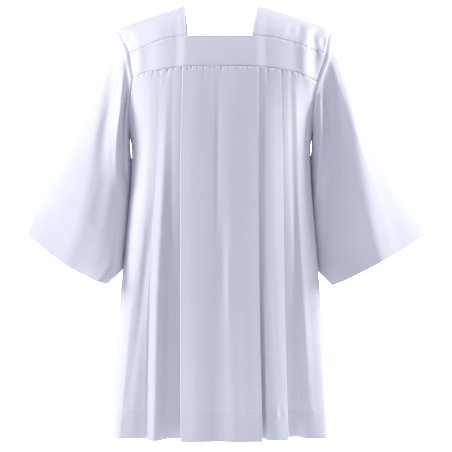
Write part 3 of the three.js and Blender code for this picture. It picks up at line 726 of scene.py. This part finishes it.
def skirt_rows():
    """Shares of the way down at which a skirt has its rows: close at the gathers and in the hem."""
    length = HEM_DROP - BAND_SEAM["drop"][0]
    above, below = (length - HEM_DEPTH + reach for reach in STITCHING_ROWS)
    stretches = {
        "nicks": (0, NICK_ROWS_END),
        "gathers": (NICK_ROWS_END, GATHER_ROWS_END),
        "plain": (GATHER_ROWS_END, above - STITCHING_CLEARANCE),
        "stitching": (above, below),
        "hem": (below, length - ROW_STEPS["hem"]),
    }
    rows = [np.arange(start, end, ROW_STEPS[name]) for name, (start, end) in stretches.items()]
    return np.concatenate([*rows, [length]]) / length


def skirt_relief(face, layer, points, bare):
    """How far the creases and gathers of a panel stand out from its plain form."""
    x = points[..., 0]
    drop = -points[..., 2]
    below = drop - band_seam(x)
    height = GATHER_RISE * np.maximum(1 - below / GATHER_RISE_LENGTH, 0) ** 2 + seam_sink(below)
    for at, lean, depth, length, width in zip(*PUCKERS[face].values()):
        nick = bell(below, NICK_LENGTH) * bell(x - at, NICK_WIDTH)
        fade = np.maximum(1 - below / length, 0) ** TROUGH_FADE
        spread = width * mix(*TROUGH_SPREAD, below / length)
        trough = TROUGH_SHARE * fade * bell(x - at - lean * below / length, spread)
        height = height - depth * (nick + trough)
    for panel, head, foot, top, bottom, width, rises in zip(*SKIRT_CREASES[face].values()):
        if panel != layer["panel"]:
            continue
        along = np.clip((drop - top) / (bottom - top), 0, 1)
        swell = np.pi * along**CREASE_FADE if bottom < HEM_DROP else np.pi / 2 * along
        fade = np.sin(swell) ** CREASE_FADE
        aside = x - mix(head, foot, along)
        shape = crest(aside, width, RIDGE_ROUNDING) if rises > 0 else bell(aside, width)
        height = height + rises * fade * shape
    sewn = drop - drop[-1] + HEM_DEPTH
    height = height + HEM_GROOVE * bell(sewn, HEM_GROOVE_WIDTH)
    for at, width, rises in zip(*HEM_PUCKERS[face].values()):
        height = height + rises * bell(sewn, HEM_PUCKER_REACH) * bell(x - at, width)
    return bare * height


def skirt_sheet(face):
    layers = skirt_layers(face)
    down = skirt_rows()
    blocks = []
    reliefs = []
    for n, layer in enumerate(layers):
        stops = np.array([stop_points(face, stop, down) for stop in layer["stops"]])
        points = catmull(stops, layer_places(face, layer))
        relief = np.zeros(points.shape[:2])
        if layer["panel"] is not None:
            bare = 1
            if layer["cover"]:
                side, stop = layer["cover"]
                covered = stop_points(face, stop, down)[:, :1]
                bare = smooth(0, COVER_MARGIN, side * (points[..., 0] - covered))
            relief = skirt_relief(face, layer, points, bare)
        if n > 0:
            before = blocks[-1][:, -1:]
            outward = layer["turn"] if layer["panel"] is None else -layers[n - 1]["turn"]
            angle = np.linspace(0, np.pi, TURN_STEPS + 2)[1:-1]
            share = ((1 - np.cos(angle)) / 2)[None, :, None]
            turn = mix(before, points[:, :1], share)
            turn[..., 0] += outward * FOLD_BULGE * np.sin(angle)
            blocks.append(turn)
            edge = reliefs[-1][:, -1:]
            reliefs.append(mix(edge, relief[:, :1], share[..., 0]))
        blocks.append(points)
        reliefs.append(relief)
    return np.concatenate(blocks, 1), np.concatenate(reliefs, 1)


def armhole_half(side, face):
    """One half of an armhole, from the shoulder tip down to the underarm, and the lines just inside it."""
    sign = SIDES[side]
    seam = band_seam(band_corner(side))
    shares = np.linspace(0, 1, ARMHOLE_STEPS + 1)

    def line(inset):
        shoulder = shoulder_points(side, np.full_like(shares, 1 - inset), FACES[face] * shares)
        band = band_points(face, np.full_like(shares, sign * (1 - inset)), shares)[1:]
        drop = mix(seam, UNDERARM_DROP, shares[1:])
        x = skirt_edge(side, drop) * (1 - inset)
        return np.concatenate([shoulder, band, body_point(face, x, drop, pleat_stack(x))])

    return line(0), line(INSET)


def along_line(line, guide, shares):
    """The places on a line at shares of the guiding line's length."""
    lengths = np.linalg.norm(np.diff(guide, axis=0), axis=1)
    places = np.concatenate([[0], np.cumsum(lengths)])
    at = shares * places[-1]
    return np.stack([np.interp(at, places, line[:, k]) for k in range(3)], -1)


def sleeve_heads(side, around, down):
    """Where a sleeve starts, leading on from the body's cloth, and straight out at the underarm."""
    share = np.where(around <= 0.5, around * 2, 2 - around * 2)
    edge = np.zeros((len(around), 3))
    inside = np.zeros((len(around), 3))
    for face, chosen in (("front", around <= 0.5), ("back", around > 0.5)):
        line, within = armhole_half(side, face)
        edge[chosen] = along_line(line, line, share[chosen])
        inside[chosen] = along_line(within, line, share[chosen])
    low = smooth(UNDERARM_FROM, UNDERARM_WHOLLY, share)[:, None]
    straight = np.array([SIDES[side], 0, 0])
    direction = unit(mix(unit(edge - inside), straight, low))
    lead = SEAM_LEAD * (1 - low) * (1 - np.exp(-down[:, None, None] / LEAD_FADE))
    return edge + direction * (mix(SEAM_GAP, UNDERARM_GAP, low) + lead)


def cuff_points(side, around):
    (outer_x, outer_y, outer_drop), (inner_x, inner_y, inner_drop) = CUFF_ENDS[side].values()
    across, front, sag = (read(CUFF_LOOP[side], "around", key, around) for key in ("across", "front", "sag"))
    return np.stack(
        [
            SIDES[side] * mix(outer_x, inner_x, across),
            mix(outer_y, inner_y, across) - front,
            -mix(outer_drop, inner_drop, across) - CUFF_SAG[side] * sag,
        ],
        -1,
    )


def fold_heights(folds, around, down):
    """How far a sleeve's lengthwise folds stand out, at places around and down it."""
    height = np.zeros(np.broadcast(around, down).shape)
    for top, middle, cuff, start, end, width, rises, rounding in zip(*folds.values()):
        upper = mix(top, middle, np.minimum(down * 2, 1))
        centre = np.where(down < 0.5, upper, mix(middle, cuff, down * 2 - 1))
        along = np.clip((down - start) / (end - start), 0, 1)
        aside = around - centre
        shape = crest(aside, width, rounding) if rises > 0 else bell(aside, width)
        height += rises * np.sin(np.pi * along) ** FOLD_FADE * shape
    return height


def sleeve_rows():
    """Shares of the way down at which a sleeve has its rows."""
    head = np.arange(0, SLEEVE_HEAD_END, SLEEVE_HEAD_STEP)
    plain = np.arange(SLEEVE_HEAD_END, SLEEVE_PLAIN_END, SLEEVE_PLAIN_STEP)
    hem = np.linspace(SLEEVE_HEM_START, SLEEVE_LENGTH, SLEEVE_HEM_ROWS)
    return np.concatenate([head, plain, hem]) / SLEEVE_LENGTH


def sleeve_sheet(side):
    around = np.arange(SLEEVE_COLUMNS + 1) / SLEEVE_COLUMNS
    down = sleeve_rows()
    share = down[:, None]
    points = mix(sleeve_heads(side, around, down), cuff_points(side, around)[None], share[..., None])
    body_side = (1 - np.cos(2 * np.pi * around)) / 2
    inward = TUCK_SHARE[side] * body_side ** TUCK_POWER["inward"] * read(TUCK, "down", "inward", share)
    points[..., 0] -= SIDES[side] * inward
    points[..., 1] += TUCK_SHARE[side] * body_side ** TUCK_POWER["back"] * read(TUCK, "down", "back", share)
    outward = -np.sin(2 * np.pi * around)
    start = smooth(0, FOLDS_START, share)
    turn = np.sign(outward) * np.abs(outward) ** FOLD_TURN
    points[..., 1] += turn * start * fold_heights(SLEEVE_FOLDS[side], around[None], share)
    return points


def outward_normals(points, sign):
    """Which way the cloth's outer face looks at each point of a grid."""
    across = np.gradient(points, axis=1)
    down = np.gradient(points, axis=0)
    return sign * unit(np.cross(across, down))


def raised(points, relief, sign):
    return points + outward_normals(points, sign) * relief[..., None]


def edge_distances(points):
    """How far each point of a grid lies from its top, bottom, first and last edges, along the cloth."""
    steps = np.linalg.norm(np.diff(points, axis=0), axis=-1)
    down = np.concatenate([0 * points[:1, :, 0], np.cumsum(steps, 0)])
    steps = np.linalg.norm(np.diff(points, axis=1), axis=-1)
    across = np.concatenate([0 * points[:, :1, 0], np.cumsum(steps, 1)], 1)
    return down, down[-1] - down, across, across[:, -1:] - across


def seam_sink(distance):
    return SEAM_SINK * bell(distance, SEAM_SINK_WIDTH)


def spaced(count):
    """Shares from 0 to 1, closer together at both ends."""
    even = np.linspace(0, 1, count)
    wave = np.sin(2 * np.pi * even) / (2 * np.pi)
    return even - (1 - 1 / EDGE_CLOSENESS) * wave


def neck_groove(distance):
    return NECK_GROOVE * bell(distance - NECK_STITCHES, SEAM_SINK_WIDTH)


def band_relief(points):
    """A band sinks beside its seams and carries the nicks of the shoulder seams."""
    top, bottom, first, last = edge_distances(points)
    x = points[..., 0]
    at_neck = np.abs(x) < np.where(x < 0, NECK_CORNER["right"], NECK_CORNER["left"])
    relief = seam_sink(bottom) + seam_sink(first) + seam_sink(last)
    relief = relief + np.where(at_neck, neck_groove(top), seam_sink(top))
    for side, sign in SIDES.items():
        for out, depth in zip(*SEAM_NICKS[side].values()):
            at = sign * mix(NECK_CORNER[side], ARMHOLE[side][0], out)
            relief = relief - depth * bell(top, SEAM_NICK_LENGTH) * bell(x - at, SEAM_NICK_WIDTH)
    return relief


def shoulder_relief(side, points, out, turn):
    """A shoulder's soft creases, and how it sinks beside its seams."""
    front, back, neck, armhole = edge_distances(points)
    relief = seam_sink(front) + seam_sink(back) + seam_sink(armhole) + neck_groove(neck)
    for at, round_at, wide, long, rises in zip(*SHOULDER_CREASES[side].values()):
        relief = relief + rises * bell(out - at, wide) * bell(turn - round_at, long)
    for at, depth in zip(*SEAM_NICKS[side].values()):
        nick = bell((out - at) * (ARMHOLE[side][0] - NECK_CORNER[side]), SEAM_NICK_WIDTH)
        relief = relief - depth * (bell(front, SEAM_NICK_LENGTH) + bell(back, SEAM_NICK_LENGTH)) * nick
    return relief


def sleeve_relief(points):
    """A sleeve sinks at its seam with the armhole and swells just past it."""
    below = edge_distances(points)[0]
    return seam_sink(below) + HEAD_SWELL * bell(below - HEAD_SWELL_AT, HEAD_SWELL_WIDTH)


def turned_under(points, sign, depth):
    """The grid with its last row turned under: round a small fold, then back inside for its depth."""
    normals = outward_normals(points, sign)
    edge = points[-1]
    onward = unit(edge - points[-2]) * FOLD_RADIUS
    inward = normals[-1] * FOLD_RADIUS
    fold = [edge + onward * np.sin(angle) - inward * (1 - np.cos(angle)) for angle in FOLD_ANGLES]
    length = np.linalg.norm(edge - points[::-1], axis=-1).mean(1)
    inner = (points - normals * 2 * FOLD_RADIUS)[::-1][length <= depth]
    return np.concatenate([points, fold, inner])


def turned_top(points, sign, depth):
    return turned_under(points[::-1], -sign, depth)[::-1]


def turned_both(points, sign):
    """The grid with the usual turning at its first and its last row."""
    return turned_top(turned_under(points, sign, EDGE_TURN), sign, EDGE_TURN)


def flat_places(points):
    """How far along and down the cloth each point of a grid lies, in metres."""
    across = np.linalg.norm(np.diff(points, axis=1), axis=-1).mean(0)
    down = np.linalg.norm(np.diff(points, axis=0), axis=-1).mean(1)
    u = np.concatenate([[0], np.cumsum(across)]) * MM
    v = np.concatenate([[0], np.cumsum(down)]) * MM
    return np.meshgrid(u, -v)


def linked_object(name, data):
    item = bpy.data.objects.new(name, data)
    bpy.context.scene.collection.objects.link(item)
    return item


def mesh_object(name, mesh, material):
    mesh.materials.append(material)
    mesh.validate()
    mesh.update()
    return linked_object(name, mesh)


def cloth_object(name, points, sign, material, ring=False):
    """A sheet of cloth over a grid of points. A ring's last column lies on its first."""
    rows, columns = points.shape[:2]
    u, v = flat_places(points)
    kept = columns - 1 if ring else columns
    numbers = np.arange(rows * kept).reshape(rows, kept)
    if ring:
        numbers = np.concatenate([numbers, numbers[:, :1]], 1)
    quad = ((0, 0), (0, 1), (1, 1), (1, 0))
    if sign < 0:
        quad = quad[::-1]
    corners = [numbers[a : rows - 1 + a, b : columns - 1 + b] for a, b in quad]
    places = [np.stack([u, v], -1)[a : rows - 1 + a, b : columns - 1 + b] for a, b in quad]
    faces = np.stack(corners, -1).reshape(-1, 4)
    mesh = bpy.data.meshes.new(name)
    mesh.from_pydata((points[:, :kept].reshape(-1, 3) * MM).tolist(), [], faces.tolist())
    flat = np.stack(places, -2).reshape(-1).astype(np.float32)
    mesh.uv_layers.new(name="cloth").data.foreach_set("uv", flat)
    mesh.polygons.foreach_set("use_smooth", np.ones(len(faces), bool))
    return mesh_object(name, mesh, material)


# Stitches. The sections along one are its place in stitch lengths, and its thickness and lift in radii.
STITCH_PITCH = 2.9
STITCH_LENGTH = 2.1
STITCH_RADIUS = 0.2
STITCH_SIDES = 6
STITCH_SECTIONS = [(-0.5, 0.35, -0.6), (-0.3, 1, 0.35), (0.3, 1, 0.35), (0.5, 0.35, -0.6)]
TANGENT_REACH = 0.5


def stitch_object(name, lines, material):
    """Rows of small stitches along lines, each line a pair of its points and their outward directions."""
    angles = np.linspace(0, 2 * np.pi, STITCH_SIDES, endpoint=False)
    ring = [(n, (n + 1) % STITCH_SIDES) for n in range(STITCH_SIDES)]
    starts = [k * STITCH_SIDES for k in range(len(STITCH_SECTIONS))]
    shell = [
        (start + a, start + b, following + b, following + a)
        for start, following in zip(starts, starts[1:])
        for a, b in ring
    ]
    caps = [tuple(range(STITCH_SIDES))[::-1], tuple(range(starts[-1], starts[-1] + STITCH_SIDES))]
    vertices, faces = [], []
    for line, normals in lines:
        places = np.concatenate([[0], np.cumsum(np.linalg.norm(np.diff(line, axis=0), axis=1))])
        at = np.arange(STITCH_PITCH / 2, places[-1], STITCH_PITCH)

        def along(values, where):
            return np.stack([np.interp(where, places, values[:, k]) for k in range(3)], -1)

        centre = along(line, at)
        tangent = unit(along(line, at + TANGENT_REACH) - along(line, at - TANGENT_REACH))
        normal = unit(along(normals, at))
        aside = np.cross(tangent, normal)
        parts = []
        for shift, size, lift in STITCH_SECTIONS:
            base = centre + tangent * STITCH_LENGTH * shift + normal * STITCH_RADIUS * lift
            for angle in angles:
                parts.append(base + STITCH_RADIUS * size * (np.cos(angle) * normal + np.sin(angle) * aside))
        stitches = np.stack(parts, 1)
        start = len(vertices)
        vertices.extend((stitches.reshape(-1, 3) * MM).tolist())
        for n in range(len(stitches)):
            base = start + n * stitches.shape[1]
            faces.extend(tuple(base + k for k in face) for face in [*shell, *caps])
    mesh = bpy.data.meshes.new(name)
    mesh.from_pydata(vertices, [], faces)
    return mesh_object(name, mesh, material)


def add_node(tree, kind, inputs=None, **settings):
    node = tree.nodes.new(kind)
    for key, value in settings.items():
        setattr(node, key, value)
    for key, value in (inputs or {}).items():
        if isinstance(value, bpy.types.NodeSocket):
            tree.links.new(value, node.inputs[key])
        else:
            node.inputs[key].default_value = value
    return node


# The cloth: a close plain weave, very slightly uneven, with a soft sheen; light shines through warmer
THREAD_PITCH = 0.00062
CLOTH_COLOUR = (0.782, 0.792, 0.852, 1)
CLOTH_SHADE = (0.747, 0.757, 0.822, 1)
THROUGH_COLOUR = (0.88, 0.78, 0.80, 1)
THREAD_COLOUR = (0.84, 0.845, 0.88, 1)
WAVE_PERIOD = 2 * math.pi / 20
SLUB_STRETCH = (900, 60, 1)
UNEVEN_SCALE = 38.0
THROUGH_SHARE = 0.08


def cloth_material(name):
    material = bpy.data.materials.new(name)
    material.use_nodes = True
    tree = material.node_tree
    tree.nodes.clear()
    place = add_node(tree, "ShaderNodeUVMap", uv_map="cloth").outputs["UV"]
    threads = []
    for direction in ("X", "Y"):
        wave = add_node(
            tree,
            "ShaderNodeTexWave",
            {"Vector": place, "Scale": WAVE_PERIOD / THREAD_PITCH, "Distortion": 0.6, "Detail": 1.0},
            bands_direction=direction,
        )
        threads.append(wave.outputs["Fac"])
    weave = add_node(tree, "ShaderNodeMath", {0: threads[0], 1: threads[1]}, operation="MULTIPLY")
    drawn = add_node(tree, "ShaderNodeMapping", {"Vector": place, "Scale": SLUB_STRETCH})
    slub = add_node(tree, "ShaderNodeTexNoise", {"Vector": drawn.outputs[0], "Scale": 1.0, "Detail": 3.0})
    soft = add_node(tree, "ShaderNodeTexNoise", {"Vector": place, "Scale": UNEVEN_SCALE, "Detail": 4.0})
    both = {0: slub.outputs["Fac"], 1: soft.outputs["Fac"]}
    shade = add_node(tree, "ShaderNodeMath", both, operation="MULTIPLY")
    colour = add_node(
        tree,
        "ShaderNodeMix",
        {"Factor": shade.outputs[0], "A": CLOTH_COLOUR, "B": CLOTH_SHADE},
        data_type="RGBA",
    )
    halved = {0: slub.outputs["Fac"], 1: 0.5, 2: weave.outputs[0]}
    relief = add_node(tree, "ShaderNodeMath", halved, operation="MULTIPLY_ADD")
    fine = add_node(
        tree,
        "ShaderNodeBump",
        {"Strength": 0.35, "Distance": 0.00025, "Height": relief.outputs[0]},
    )
    rumple = add_node(
        tree,
        "ShaderNodeBump",
        {"Strength": 0.3, "Distance": 0.0012, "Height": soft.outputs["Fac"], "Normal": fine.outputs[0]},
    )
    surface = add_node(
        tree,
        "ShaderNodeBsdfPrincipled",
        {
            "Base Color": colour.outputs["Result"],
            "Roughness": 0.62,
            "Specular IOR Level": 0.35,
            "Sheen Weight": 0.22,
            "Sheen Roughness": 0.45,
            "Normal": rumple.outputs[0],
        },
    )
    through = add_node(
        tree,
        "ShaderNodeBsdfTranslucent",
        {"Color": THROUGH_COLOUR, "Normal": rumple.outputs[0]},
    )
    mixed = {0: THROUGH_SHARE, 1: surface.outputs[0], 2: through.outputs[0]}
    fabric = add_node(tree, "ShaderNodeMixShader", mixed)
    out = add_node(tree, "ShaderNodeOutputMaterial", {"Surface": fabric.outputs[0]})
    out.is_active_output = True
    return material


def thread_material(name):
    material = bpy.data.materials.new(name)
    material.use_nodes = True
    tree = material.node_tree
    surface = tree.nodes["Principled BSDF"]
    noise = add_node(tree, "ShaderNodeTexNoise", {"Scale": 900.0, "Detail": 2.0})
    colour = add_node(
        tree,
        "ShaderNodeMix",
        {"Factor": noise.outputs["Fac"], "A": THREAD_COLOUR, "B": CLOTH_SHADE},
        data_type="RGBA",
    )
    tree.links.new(colour.outputs["Result"], surface.inputs["Base Color"])
    surface.inputs["Roughness"].default_value = 0.5
    surface.inputs["Sheen Weight"].default_value = 0.2
    return material


def stage_material(name, colour, glow):
    material = bpy.data.materials.new(name)
    material.use_nodes = True
    surface = material.node_tree.nodes["Principled BSDF"]
    surface.inputs["Base Color"].default_value = colour
    surface.inputs["Roughness"].default_value = 0.9
    surface.inputs["Emission Color"].default_value = colour
    surface.inputs["Emission Strength"].default_value = glow
    return material


cloth = cloth_material("white_cloth")
thread = thread_material("white_thread")


def finish_piece(piece, node):
    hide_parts(node)
    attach(piece, "root")


def add_stitches(name, lines):
    piece = stitch_object(name, lines, thread)
    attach(piece, "root")


def row_line(points, sign, depth, top=False):
    """The line across a grid at a depth from its last (or first) row, with its outward directions."""
    normals = outward_normals(points, sign)
    end = 0 if top else -1
    length = np.linalg.norm(points - points[end], axis=-1).mean(1)
    row = int(np.argmin(np.abs(length - depth)))
    return points[row], normals[row]


def column_line(points, sign, depth):
    """The line down a grid at a depth from its first column, with its outward directions."""
    normals = outward_normals(points, sign)
    across = edge_distances(points)[2].mean(0)
    column = int(np.argmin(np.abs(across - depth)))
    return points[:, column], normals[:, column]


def within(line, limit):
    """The part of a line, given with its directions, that lies within a distance of the middle."""
    points, normals = line
    kept = np.abs(points[:, 0]) < limit
    return points[kept], normals[kept]


# How far from a shoulder seam its stitches run, and how far short of the neck's corners the band's stop
SEAM_STITCHES = 2.2
NECK_STITCH_MARGIN = 2


def add_skirt(face):
    sign = FACES[face]
    plain, relief = skirt_sheet(face)
    grid = raised(plain, relief, sign)
    skirt = cloth_object(f"{face}_skirt_cloth", turned_under(grid, sign, HEM_DEPTH), sign, cloth)
    finish_piece(skirt, f"{face}_skirt")
    add_stitches(f"{face}_hem_stitches", [row_line(grid, sign, HEM_DEPTH)])


def add_band(face):
    sign = FACES[face]
    plain = band_points(face, 2 * spaced(BAND_COLUMNS)[None] - 1, spaced(BAND_ROWS)[:, None])
    grid = raised(plain, band_relief(plain), sign)
    band = cloth_object(f"{face}_band_cloth", turned_both(grid, sign), sign, cloth)
    finish_piece(band, f"{face}_band")
    neck = row_line(grid, sign, NECK_STITCHES, top=True)
    reach = min(NECK_CORNER.values()) - NECK_STITCH_MARGIN
    add_stitches(f"{face}_band_stitches", [within(neck, reach)])


def add_shoulder(side):
    sign = SIDES[side]
    out = spaced(SHOULDER_COLUMNS)[None]
    turn = 2 * spaced(SHOULDER_ROWS)[:, None] - 1
    plain = shoulder_points(side, out, turn)
    grid = raised(plain, shoulder_relief(side, plain, out, turn), sign)
    shoulder = cloth_object(f"shoulder_{side}_cloth", turned_both(grid, sign), sign, cloth)
    finish_piece(shoulder, f"shoulder_{side}")
    seams = [row_line(grid, sign, SEAM_STITCHES, top=top) for top in (False, True)]
    add_stitches(f"shoulder_{side}_stitches", [*seams, column_line(grid, sign, NECK_STITCHES)])


def add_sleeve(side):
    sign = SIDES[side]
    plain = sleeve_sheet(side)
    grid = raised(plain, sleeve_relief(plain), sign)
    hemmed = turned_under(grid, sign, SLEEVE_HEM_DEPTH)
    sleeve = cloth_object(f"sleeve_{side}_cloth", hemmed, sign, cloth, ring=True)
    finish_piece(sleeve, f"sleeve_{side}")
    add_stitches(f"sleeve_{side}_stitches", [row_line(grid, sign, SLEEVE_HEM_STITCHES)])


for face in FACES:
    add_skirt(face)
    add_band(face)
for side in SIDES:
    add_shoulder(side)
    add_sleeve(side)


# The stage, in metres: a pale floor below the hanging garment, clear of the view, and soft side light
FLOOR_DROP = 1.3
FLOOR_HALVES = (20, 12)
FLOOR_Y = -9.9
FLOOR_COLOUR = (0.84, 0.84, 0.86, 1)
FLOOR_GLOW = 0.06
floor_mesh = bpy.data.meshes.new("floor")
half_x, half_y = FLOOR_HALVES
floor_mesh.from_pydata(
    [(x * half_x, FLOOR_Y + y * half_y, -FLOOR_DROP) for x, y in ((-1, -1), (1, -1), (1, 1), (-1, 1))],
    [],
    [(0, 1, 2, 3)],
)
floor = mesh_object("floor", floor_mesh, stage_material("pale_floor", FLOOR_COLOUR, FLOOR_GLOW))


def area_light(name, location, target, size, power, colour):
    """A rectangular light that looks from its place to a target, with its power in watts."""
    data = bpy.data.lights.new(name, "AREA")
    data.shape = "RECTANGLE"
    data.size, data.size_y = size
    data.energy = power
    data.color = colour
    light = linked_object(name, data)
    light.location = location
    light.rotation_euler = (Vector(target) - Vector(location)).to_track_quat("-Z", "Y").to_euler()


SIDE_TARGET = (0, 0, -0.4)
SIDE_COLOUR = (0.995, 1, 0.975)
area_light("side_light_right", (-3, -0.5, 0.9), SIDE_TARGET, (1.4, 1.8), 107, SIDE_COLOUR)
area_light("top_light", (0, -1.2, 2.6), (0, 0, -0.3), (1.8, 1), 16, (1, 1, 1))
area_light("side_light_left", (3, 0, 0.9), SIDE_TARGET, (1, 1.8), 115, SIDE_COLOUR)

# The room: a cool dim light all round, and a white backdrop that only the camera sees
ROOM_LIGHT = {"Color": (0.86, 0.875, 1.18, 1), "Strength": 0.325}
BACKDROP = {"Color": (1, 1, 1, 1), "Strength": 12.0}
world = bpy.data.worlds.new("studio")
bpy.context.scene.world = world
world.use_nodes = True
sky = world.node_tree
sky.nodes.clear()
ray = add_node(sky, "ShaderNodeLightPath")
around_light = add_node(sky, "ShaderNodeBackground", ROOM_LIGHT)
backdrop = add_node(sky, "ShaderNodeBackground", BACKDROP)
chosen = add_node(
    sky,
    "ShaderNodeMixShader",
    {0: ray.outputs["Is Camera Ray"], 1: around_light.outputs[0], 2: backdrop.outputs[0]},
)
add_node(sky, "ShaderNodeOutputWorld", {"Surface": chosen.outputs[0]})
bpy.context.scene.view_settings.view_transform = "Standard"

# The camera: level, straight before the garment, with its lens and sensor in millimetres
CAMERA_PLACE = (0.011, -3.6, -0.493)
CAMERA_LENS = 128.2
CAMERA_SENSOR = 36
camera_data = bpy.data.cameras.new("camera")
camera_data.lens = CAMERA_LENS
camera_data.sensor_width = CAMERA_SENSOR
camera = linked_object("camera", camera_data)
camera.location = CAMERA_PLACE
camera.rotation_euler = (math.pi / 2, 0, 0)
bpy.context.scene.camera = camera
